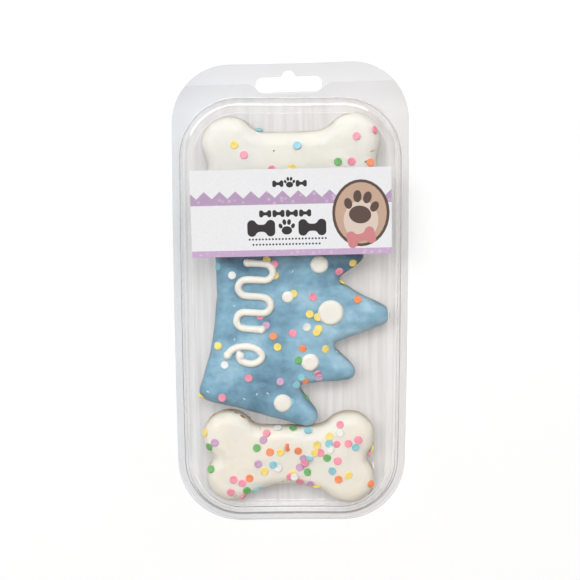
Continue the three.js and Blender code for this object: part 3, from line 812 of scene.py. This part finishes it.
# %% Standing on a biscuit
def on_biscuit(body, x, y, beside=BISCUIT_THICKNESS / 2):
    """Where a point of the pack, in millimetres, meets a biscuit's top or side, and how it faces."""
    hit, place, normal, _ = body.ray_cast(Vector((x * MM, y * MM, 0.1)), Vector((0, 0, -1)))
    if not hit:
        aim = Vector((x * MM, y * MM, BISCUIT_FOOT + beside))
        _, place, normal, _ = body.closest_point_on_mesh(aim)
    return place, normal


def on_crown(x, y, lift=0.0):
    """The same for a point in the crown's own frame, and lifted."""
    x, y = turned(x, y, CROWN_TURN)
    place, normal = on_biscuit(crown, CROWN_PLACE[0] + x, CROWN_PLACE[1] + y)
    return place + Vector((0, 0, lift)), normal


# %% Drops
DROPS = [
    (50.2, 25.2, 4.5, 2.0), (35.5, 7.8, 3.1, 1.8), (57.6, 1.1, 6.5, 2.5), (48.9, -25.1, 4.6, 2.2),
    (36.5, -47.3, 4.7, 2.2),
]
DROP_BEVEL = 0.85
DROP_LIFT = 0.22
UP = Vector((0, 0, 1))


def soften(piece, grain, passes):
    """Remeshes a lump of icing, smooths it and dents it a little."""
    finish_modifier(piece, "REMESH", mode="VOXEL", voxel_size=grain)
    finish_modifier(piece, "SMOOTH", factor=0.5, iterations=passes)
    lumpy(piece, 4 * MM, grain)
    settle(piece, smooth_degrees=180)


def icing_drop(x, y, radius, height):
    """A thick round button with a domed top."""
    drop = made_by(bpy.ops.mesh.primitive_cylinder_add, vertices=48, radius=radius * MM, depth=height * MM)
    start_editing(drop, "DESELECT")
    select_where(drop, "edges", lambda edge: all(point.co.z > 0 for point in edge.verts))
    bpy.ops.mesh.bevel(offset=height * DROP_BEVEL * MM, segments=6, profile=0.5)
    stop_editing()
    drop.location, normal = on_crown(x, y, height * DROP_LIFT * MM)
    drop.rotation_euler = UP.rotation_difference(normal).to_euler()
    settle(drop)
    soften(drop, 0.3 * MM, 6)
    return drop


drops = join("icing_drops", [icing_drop(*drop) for drop in DROPS])
dress(drops, white, "cream_icing")

# %% Piped line
PIPE_RADIUS = 1.85 * MM
PIPE_LIFT = 0.6 * MM
END_BLOB = 1.2 * PIPE_RADIUS
RUNS = 5
RUN_ENDS = (14.5, 23.5)
FIRST_RUN = 24.0
RUN_PITCH = 8.4
HALF_TURN = range(60, -61, -40)
CURL_CENTRE = (17.4, -24.0)
CURL_SIZE = (10.2, 6.2)
CURL_TURNS = 1.02
CURL_CLOSING = 0.6
CURL_STEPS = 22


def squiggle_points():
    """Straight runs across the crown, joined by half turns."""
    points = []
    for run in range(RUNS):
        y = FIRST_RUN - run * RUN_PITCH
        start, end = RUN_ENDS[::-1] if run % 2 else RUN_ENDS
        points += [(start, y), ((start + end) / 2, y), (end, y)]
        reach = copysign(RUN_PITCH / 2, end - start)
        for degrees in HALF_TURN if run + 1 < RUNS else ():
            angle = radians(degrees)
            points.append((end + reach * cos(angle), y - RUN_PITCH / 2 * (1 - sin(angle))))
    return points


def curl_points():
    """A wide open spiral that starts at its left."""
    points = []
    for step in range(CURL_STEPS + 1):
        angle = 2 * pi * CURL_TURNS * step / CURL_STEPS
        size = 1 - CURL_CLOSING * step / CURL_STEPS
        x, y = CURL_SIZE[0] * size * cos(angle), CURL_SIZE[1] * size * sin(angle)
        points.append((CURL_CENTRE[0] - x, CURL_CENTRE[1] + y))
    return points


def piped(name, points):
    """A round line of icing on the crown."""
    places = [on_crown(x, y, PIPE_LIFT)[0] for x, y in points]
    line = made_by(bpy.ops.curve.primitive_bezier_curve_add)
    line.data.dimensions = "3D"
    line.data.splines.clear()
    spline = line.data.splines.new("NURBS")
    spline.points.add(len(points) - 1)
    for knot, place, (x, y) in zip(spline.points, places, points):
        knot.co = (*place, 1)
        knot.radius = 1 + 0.1 * noise.noise(Vector((x, y, 0)) * 0.3)
    spline.order_u = 4
    spline.use_endpoint_u = True
    spline.resolution_u = 8
    line.data.bevel_depth = PIPE_RADIUS
    line.data.bevel_resolution = 5
    line.data.use_fill_caps = True
    pick(line)
    bpy.ops.object.convert(target="MESH")
    pieces = [bpy.context.object]
    blob = {"segments": 20, "ring_count": 12, "radius": END_BLOB}
    for place in (places[0], places[-1]):
        pieces.append(made_by(bpy.ops.mesh.primitive_uv_sphere_add, location=place, **blob))
    whole = join(name, pieces)
    soften(whole, 0.35 * MM, 8)
    return whole


piping = join("piped_icing", [piped("squiggle", squiggle_points()), piped("curl", curl_points())])
dress(piping, white, "cream_icing")

# %% [markdown]
# ## Sugar confetti
# A disc of confetti is pressed sugar with a soft rim. One is modelled and then copied to every place,
# in millimetres from each biscuit's middle. Where discs fell on each other the later one lies higher,
# and a few stand on edge: those have a lean and its heading.

# %% Confetti places
BOTTOM_CONFETTI = {
    "yellow": [
        (-42.6, 14.4), (-4.2, 4.3), (-12.4, -5.8), (2, -7), (14.5, 8.2), (13.4, 4.2), (20.8, 12.7),
        (30.8, -8.1), (14.5, -14, 60, -90), (42.4, 4.9, 60, 0),
    ],
    "purple": [(-37.7, 9.8), (-12.9, 11), (-15.7, -1.5), (11.1, -12.8), (7.5, 1.2), (5.6, -3.7)],
    "green": [
        (-40.7, 7.2), (-39.8, -5.1), (-16.3, 6.9), (-21.6, -16.1), (9.6, -6.2), (19.6, 1.4),
        (2.3, 15.8, 45, 90),
    ],
    "orange": [
        (-9.6, 4.7), (4.8, 5.2), (-20.1, -9.3), (25.5, -10.3), (42.1, -13.2), (-0.7, 7.2, 62, 10),
    ],
    "pink": [
        (-11.2, 14.1), (-23.9, -11.9), (-28.3, -9.9), (-29.9, -16.8), (0.9, -8.5), (5.8, -11.7),
        (8.3, -1, 60, 60), (16.4, 4.2), (24.6, 8.6), (26.3, 18.7), (30.5, 9), (35.4, 10.9),
        (25.1, -0.3), (-23.7, -19.1, 60, -30), (41.6, 1.8, 60, 10),
    ],
    "teal": [
        (-7.9, -2.1), (20.7, 9), (34.2, 6.9), (22.3, -5.6), (-16.9, -15.5, 65, -80),
        (10.7, 1.6, 75, 80), (10.1, 14.9, 50, 90),
    ],
    "white": [
        (-5.4, -4), (2.9, -8.4), (21.3, 5.9), (26.3, 14.5), (43.3, -5.3, 60, 0), (42, -18.9, 60, -40),
        (-5.5, 16.1, 40, 90),
    ],
}
TOP_CONFETTI = {
    "teal": [(-15.5, 18.2, 50, 90), (2.9, 10.5)],
    "yellow": [(-27.9, 10.9), (0.5, -0.7)],
    "pink": [(-23.1, 6), (-9.7, -1), (29.6, 2.6), (31.9, 14.9), (40.7, 17.7, 35, 20)],
    "green": [(22.9, 2.5)],
    "orange": [(38.7, 1.9)],
    "purple": [(26.4, -1.9)],
}
CROWN_CONFETTI = {
    "teal": [(1.5, 20.7), (42.7, -35.9), (40.2, -40.2), (37.4, -48.9)],
    "white": [(8.3, 16.6), (45.5, -10.1), (4, -29.4)],
    "pink": [
        (29.3, 22.1), (61.7, 18.1), (48.6, 5.4), (27.1, 2.2), (38.4, -13), (22.1, -4.2),
        (50.8, -33.8, 45, -60), (16, -36.2), (2.5, -46.5),
    ],
    "yellow": [
        (25.6, 24.4), (29.6, 16.5), (68.5, 22.3), (63.8, 12, 50, 60), (38.9, 7.2), (46.9, -3.4),
        (51, -4.9), (51.4, -10.9), (50.4, -12.6), (54.8, -21.6), (0.8, -19.8), (30.8, -20.2),
        (-7.7, -46, 60, -120),
    ],
    "purple": [(25.1, -9), (51.7, -36.6), (32, -38.3)],
    "orange": [(28.6, -14.6), (43.3, -20.9), (44.5, -38.3), (70.9, 3.4)],
    "green": [(41.2, -27), (45.8, -48.9)],
}

# %% Confetti discs
DISC_RADIUS = 2.0 * MM
DISC_THICKNESS = 1.0 * MM
DISC_SHOWS = 0.68 * MM
DISC_DIMPLE = 0.2 * MM
DISC_TILT = 11
STACKED = 2.9 * MM
STACK_RISE = 0.55 * MM
LEANING_RISE = 0.4 * DISC_RADIUS
SIZES_DIFFER = 0.09
CONFETTI = {
    "yellow": (0.92, 0.70, 0.17),
    "purple": (0.61, 0.365, 0.555),
    "green": (0.14, 0.43, 0.12),
    "orange": (0.92, 0.27, 0.10),
    "pink": (0.90, 0.29, 0.39),
    "teal": (0.25, 0.57, 0.65),
    "white": (0.82, 0.82, 0.78),
}
laid = []
noise.seed_set(4)


def model_disc():
    """One disc of confetti with a soft rim and a shallow dimple."""
    size = {"radius": DISC_RADIUS, "depth": DISC_THICKNESS}
    disc = made_by(bpy.ops.mesh.primitive_cylinder_add, vertices=18, **size)
    start_editing(disc, "DESELECT")
    select_where(disc, "edges", lambda edge: abs(edge.verts[0].co.z - edge.verts[1].co.z) < 0.1 * MM)
    bpy.ops.mesh.bevel(offset=0.3 * MM, segments=2)
    bpy.ops.mesh.select_all(action="DESELECT")
    select_where(disc, "faces", lambda face: face.normal.z > 0.99)
    bpy.ops.mesh.inset(thickness=0.6 * MM)
    bpy.ops.transform.translate(value=(0, 0, -DISC_DIMPLE))
    stop_editing()
    bpy.ops.object.shade_smooth_by_angle(angle=radians(50))
    return disc


def lay_disc(master, body, x, y, lean=0, heading=0):
    """A copy of the disc on a biscuit, tipped a little or by a lean."""
    place, normal = on_biscuit(body, x, y)
    wobble = noise.noise_vector(Vector((x, y, 1.7)) * 0.37) * radians(DISC_TILT) * 2
    leaning = Vector((*turned(1, 0, heading), 0)) * tan(radians(lean))
    facing = (normal + wobble + leaning).normalized()
    below = sum((place - other).length < STACKED for other in laid)
    laid.append(place.copy())
    rise = DISC_SHOWS - DISC_THICKNESS / 2 + below * STACK_RISE
    rise += sin(radians(lean)) * LEANING_RISE
    copy = master.copy()
    copy.data = master.data.copy()
    bpy.context.collection.objects.link(copy)
    turn = UP.rotation_difference(facing).to_matrix().to_4x4()
    size = 1 + SIZES_DIFFER * noise.noise(Vector((x, y, 5.1)) * 0.61)
    copy.matrix_world = Matrix.Translation(place + normal * rise) @ turn @ Matrix.Scale(size, 4)
    return copy


def confetti_material(name, colour):
    """Pressed sugar that is a little deeper and paler in places."""
    material, tree = new_material("confetti_" + name)
    deep = [c * 0.88 for c in colour]
    pale = [min(1, 0.94 * c + 0.06) for c in colour]
    batch = noise_texture(tree, 130.0, Detail=4.0)
    mottled = ramp(tree, batch, [(0.38, deep), (0.5, colour), (0.66, pale)])
    surface(tree, mottled, 0.5, 0.3, Normal=bump(tree, noise_texture(tree, 2200.0), 0.25, 0.1 * MM))
    return material


master = model_disc()
beds = (
    (bone_bottom, (-1.5, -84.8), BOTTOM_CONFETTI),
    (bone_top, (0.4, 65.9), TOP_CONFETTI),
    (crown, CROWN_PLACE, CROWN_CONFETTI),
)
for name, colour in CONFETTI.items():
    discs = []
    for body, (centre_x, centre_y), places in beds:
        for x, y, *tipped in places.get(name, []):
            discs.append(lay_disc(master, body, centre_x + x, centre_y + y, *tipped))
    dress(join("confetti_" + name, discs), confetti_material(name, colour), "cream_icing")
bpy.data.objects.remove(master)
print(len(laid), "discs of confetti")

# %% [markdown]
# ## Crumbs
# Crumbs of sugar, icing and dough lie among the confetti, and the icing has scratches. Dark grey lumps
# are painted shade for a burst bubble and other pits, and dark brown ones along the bottom bone's upper
# rim are dough with painted shade of the narrow gap to the crown. Each is a lump, half sunk into the
# icing or against a biscuit's side: its place in the pack, length, width and turn.

# %% Crumbs
CRUMBS = {
    "sugar_crumbs": ((0.86, 0.87, 0.84), {"crown": [
        (-42.2, -48.2, 1.9, 0.5, -35), (-17.5, -49.4, 1.5, 0.4, 70), (-12.0, -49.0, 1.5, 0.5, -40),
        (-28.6, -21.0, 1.6, 0.4, 80), (-28.4, -3.8, 1.4, 0.3, -30), (0.8, 13.8, 1.8, 0.3, 60),
        (23.0, -28.6, 1.7, 0.5, -40), (-24.0, -52.0, 1.6, 0.4, -20),
    ]}),
    # Dark brown lumps along the rim: dough showing, and painted shade of the gap to the crown.
    "dough_and_shade_crumbs": ((0.36, 0.23, 0.10), {"bottom": [
        (-34.2, -58.1, 2.6, 0.8, -22), (-31.1, -59.2, 2.8, 0.9, -22), (-28.1, -60.7, 2.8, 1.0, -28),
        (-25.0, -62.4, 2.9, 1.2, -30), (-22.0, -63.9, 2.8, 1.3, -27), (-18.9, -65.1, 2.6, 1.1, -20),
        (-43.7, -62.7, 2.4, 0.9, 60), (-41.6, -60.3, 3.0, 1.0, 42), (-4.5, -96.4, 0.7, 0.6, 0),
        (-2.3, -95.5, 0.6, 0.5, 0),
    ]}),
    "toasted_crumbs": ((0.66, 0.47, 0.24), {
        "top": [(40.0, 73.6, 3.4, 0.9, 20)],
        "bottom": [
            (-21.6, -63.3, 1.1, 0.6, -35), (-10.5, -99.4, 5.0, 0.7, 4), (-15.9, -69.0, 1.0, 0.7, 0),
        ],
    }),
    "rosy_crumbs": ((0.62, 0.33, 0.30), {
        "bottom": [(-16.2, -68.4, 1.0, 0.8, 30), (-28.7, -103.7, 1.6, 0.8, 60)],
    }),
    # Dark grey lumps: painted shade of a burst bubble and other pits in the icing.
    "pit_shade_crumbs": ((0.20, 0.24, 0.22), {
        "top": [(-8.1, 73.8, 0.9, 0.9, 0), (36.8, 68.3, 1.5, 0.8, 50)],
        "crown": [(-15.6, -9.7, 1.4, 1.2, 0), (16.7, -46.0, 1.5, 1.1, 20)],
    }),
}
BODIES = {"top": bone_top, "crown": crown, "bottom": bone_bottom}
CRUMB_SIDE = 6 * MM


def crumb(body, x, y, length, width, turn):
    """A small lump at a place in millimetres of the pack."""
    place, _ = on_biscuit(body, x, y, CRUMB_SIDE)
    ball = {"subdivisions": 3, "radius": 0.5 * MM, "location": place}
    lump = made_by(bpy.ops.mesh.primitive_ico_sphere_add, **ball)
    lump.scale = (length, width, width)
    lump.rotation_euler.z = radians(turn)
    settle(lump)
    lumpy(lump, 0.6 * MM, 0.35 * width * MM)
    settle(lump, smooth_degrees=180)
    return lump


for name, (colour, beds) in CRUMBS.items():
    lumps = [crumb(BODIES[body], *place) for body, places in beds.items() for place in places]
    dress(join(name, lumps), confetti_material(name, colour), "cream_icing")

# %% [markdown]
# ## The label
# The label is smooth white paper, glued flat to the front. Its print is laid on as very thin fields of
# colour, so that each keeps a crisp edge. Fields on other fields have a higher level.

# %% Paper
LABEL_SIZE = (98.0, 42.8)
LABEL_PLACE = (0.2 * MM, 44.55 * MM)
LABEL_TURN = radians(1.0)
PAPER = 0.3 * MM
INK = 0.02 * MM


def paper_material(name, colour, speck=None):
    """Coated paper in one colour, which may have pale specks."""
    material, tree = new_material(name)
    fibre = noise_texture(tree, 900.0, Detail=4.0)
    printed = ramp(tree, fibre, [(0.3, [c * 0.95 for c in colour]), (0.7, colour)])
    if speck:
        place = add(tree, "TexCoord", {}).outputs["Object"]
        cells = add(tree, "TexVoronoi", {"Vector": place, "Scale": 330.0})
        near = share(tree, cells.outputs["Distance"], 0.16, 0.34, start=0.8, end=0.0)
        printed = mix_colours(tree, near, printed, (*speck, 1))
    surface(tree, printed, 0.55, 0.3, Normal=bump(tree, fibre, 0.1, 0.05 * MM))
    return material


def on_label(piece, level=0):
    """Moves a piece from the label's own flat frame to the pack."""
    piece.location = (*LABEL_PLACE, LABEL_BACK + PAPER + level * INK)
    piece.rotation_euler.z = LABEL_TURN
    settle(piece)


def box_outline(width, height, radius, y=0.0):
    """A round-cornered rectangle, in millimetres of the label."""
    right, up = width / 2 - radius, height / 2 - radius
    corners = [(right, -up), (right, up), (-right, up), (-right, -up)]
    return belt_outline([(corner_x, y + corner_y, radius) for corner_x, corner_y in corners])


label = prism("label_paper", box_outline(*LABEL_SIZE, 0.5), -PAPER, 0.0)
on_label(label)
settle(label, smooth_degrees=30)
dress(label, paper_material("white_paper", (0.905, 0.915, 0.93)), "paper_label", "label")

# %% Lilac band and strip
LABEL_TOP = LABEL_SIZE[1] / 2
TOOTH_TIP = LABEL_TOP - 10.5
TOOTH_VALLEY = LABEL_TOP - 14.1
BAND_FOOT = LABEL_TOP - 17.3
HALF_PITCH = 3.825
FIRST_TIP = 6.7
STRIP_HEIGHT = 3.1


def flat_field(outline, x=0, y=0, turn=0):
    """A flat field of print in an outline, moved to its place on the label."""
    field = grow_sheet("field", [ring_at(outline, 0.0)])
    field.location = (x * MM, y * MM, 0)
    field.rotation_euler.z = radians(turn)
    settle(field)
    return field


def zigzag_outline():
    """The band's outline: a straight foot and a top edge of even teeth."""
    right = LABEL_SIZE[0] / 2
    first = FIRST_TIP % HALF_PITCH - right
    turns = [first + HALF_PITCH * step for step in range(ceil((right - first) / HALF_PITCH))]
    points = [(-right, BAND_FOOT), (right, BAND_FOOT)]
    for x in [right, *reversed(turns), -right]:
        along = (x + right - FIRST_TIP) % (2 * HALF_PITCH)
        fall = min(along, 2 * HALF_PITCH - along) / HALF_PITCH
        points.append((x, TOOTH_TIP - fall * (TOOTH_TIP - TOOTH_VALLEY)))
    return [Vector(point) * MM for point in points]


def as_ink(name, fields, material, level=0):
    """Joins fields into ink on the label."""
    printed = join(name, fields)
    face_outwards(printed)
    finish_modifier(printed, "SOLIDIFY", thickness=INK, offset=1)
    face_outwards(printed)
    on_label(printed, level + 0.5)
    dress(printed, material, "paper_label")


lilac = paper_material("lilac_print", (0.53, 0.37, 0.56), speck=(0.68, 0.55, 0.70))
pale_lilac = paper_material("pale_lilac_print", (0.64, 0.45, 0.67), speck=(0.74, 0.60, 0.76))
strip = box_outline(LABEL_SIZE[0], STRIP_HEIGHT, 0.1, STRIP_HEIGHT / 2 - LABEL_TOP)
as_ink("label_band", [flat_field(zigzag_outline())], lilac)
as_ink("label_strip", [flat_field(strip)], pale_lilac)

# %% [markdown]
# ## Motifs on the label
# Plain motifs stand where a pack has its title and picture. A bone is the same belt as the biscuits,
# and a paw is five round pads.

# %% Motif helpers
OVAL_STEPS = 32
PAW = [
    (0, -0.17, 0.62, 0.50, 0), (-0.37, 0.10, 0.22, 0.31, 22), (-0.14, 0.33, 0.23, 0.34, 8),
    (0.14, 0.33, 0.23, 0.34, -8), (0.37, 0.10, 0.22, 0.31, -22),
]


def bone_field(x, y, length, turn=0):
    """A small bone of a given length."""
    knob = length * 0.165
    knob_x, knob_y, waist_y = length / 2 - knob, knob * 0.82, knob * 1.78
    waist_x = knob_x - sqrt((2 * knob) ** 2 - (waist_y - knob_y) ** 2)
    right = [(knob_x, -knob_y, knob), (knob_x, knob_y, knob), (waist_x, waist_y, -knob)]
    foot = [(-waist_x, -waist_y, -knob), (waist_x, -waist_y, -knob)]
    return flat_field(belt_outline(right + mirrored(right) + foot), x, y, turn)


def oval_field(x, y, width, height, turn=0):
    """An oval field."""
    angles = [2 * pi * step / OVAL_STEPS for step in range(OVAL_STEPS)]
    outline = [Vector((width * cos(angle), height * sin(angle))) * MM / 2 for angle in angles]
    return flat_field(outline, x, y, turn)


def paw_fields(x, y, size, turn=0):
    """A paw print: one wide pad and four toes."""
    fields = []
    for *centre, width, height, lean in PAW:
        across, along = turned(*centre, turn)
        place = (x + size * across, y + size * along)
        fields.append(oval_field(*place, size * width, size * height, lean + turn))
    return fields


# %% Charcoal print
charcoal = paper_material("charcoal_print", (0.045, 0.04, 0.042))
top_mark = [*paw_fields(-0.5, 14.6, 5.6), bone_field(-6.2, 14.2, 5.4), bone_field(5.2, 14.2, 5.4)]
as_ink("label_top_mark", top_mark, charcoal)

title = [bone_field(-12.7 + 6.5 * step, -0.4, 5.9) for step in range(4)]
title += [bone_field(-14.8, -7.5, 13.6), *paw_fields(-2.3, -7.4, 8.2), bone_field(10.2, -7.5, 13.6)]
as_ink("label_title", title, charcoal)

rule = [oval_field(-20.6 + 1.62 * step, -13.0, 0.95, 0.95) for step in range(24)]
rule += [oval_field(-18.8 + 1.62 * step, -15.6, 0.95, 0.95) for step in range(21)]
as_ink("label_rules", rule, charcoal)

# %% Brown badge
BADGE_X, BADGE_Y = 34.0, -1.0
brown = paper_material("brown_print", (0.13, 0.085, 0.07))
tan_brown = paper_material("tan_print", (0.62, 0.43, 0.32))
pale_brown = paper_material("pale_print", (0.80, 0.66, 0.56))
rose = paper_material("rose_print", (0.70, 0.27, 0.28))

as_ink("label_badge_rim", [oval_field(BADGE_X, BADGE_Y, 28.0, 33.0)], brown, 1)
as_ink("label_badge", [oval_field(BADGE_X, BADGE_Y, 25.2, 30.2)], tan_brown, 2)
as_ink("label_badge_pale", [oval_field(BADGE_X, BADGE_Y - 3.5, 17.0, 19.5)], pale_brown, 3)
as_ink("label_badge_paw", paw_fields(BADGE_X, BADGE_Y + 2.2, 17.5, -8), brown, 4)
as_ink("label_badge_bone", [bone_field(BADGE_X, BADGE_Y - 12.0, 14.0, 14)], rose, 5)

# %% [markdown]
# ## Floor and light
# The white ground is like a light table: it glows a little, so the shadows stay pale. A broad lamp
# beyond the top of the pack draws the bright lines along the bends of the plastic.

# %% Floor
floor_material, tree = new_material("studio_floor")
glow = {"Emission Color": (1, 1, 1, 1), "Emission Strength": 0.32}
surface(tree, (0.74, 0.74, 0.74, 1), 1.0, 0.0, **glow)
floor = made_by(bpy.ops.mesh.primitive_plane_add, size=4.0, location=(0, 0, -0.2 * MM))
floor.name = "studio_floor"
floor.data.materials.append(floor_material)

# %% Lamp and world
LAMP_PLACE = (-0.5, 1.4, 2.5)

lamp = made_by(bpy.ops.object.light_add, type="AREA", location=LAMP_PLACE)
lamp.name = "key_lamp"
lamp.rotation_euler = (-Vector(LAMP_PLACE)).to_track_quat("-Z", "Y").to_euler()
lamp.data.shape = "RECTANGLE"
lamp.data.size, lamp.data.size_y = 4.0, 1.3
lamp.data.energy = 60.0

world = bpy.data.worlds.new("studio_world")
bpy.context.scene.world = world
world.use_nodes = True
tree = world.node_tree
room = [(0.0, (0.42, 0.36, 0.30)), (1.0, (1.04, 1.07, 1.12))]
towards = share(tree, position(tree, "Generated")["Y"], -1.0, 1.0)
sky = tree.nodes["Background"]
tree.links.new(ramp(tree, towards, room), sky.inputs["Color"])
sky.inputs["Strength"].default_value = 0.66
bpy.context.scene.view_settings.view_transform = "Standard"
print("one lamp of", lamp.data.energy, "W")

# %% Finish
print("scene built")
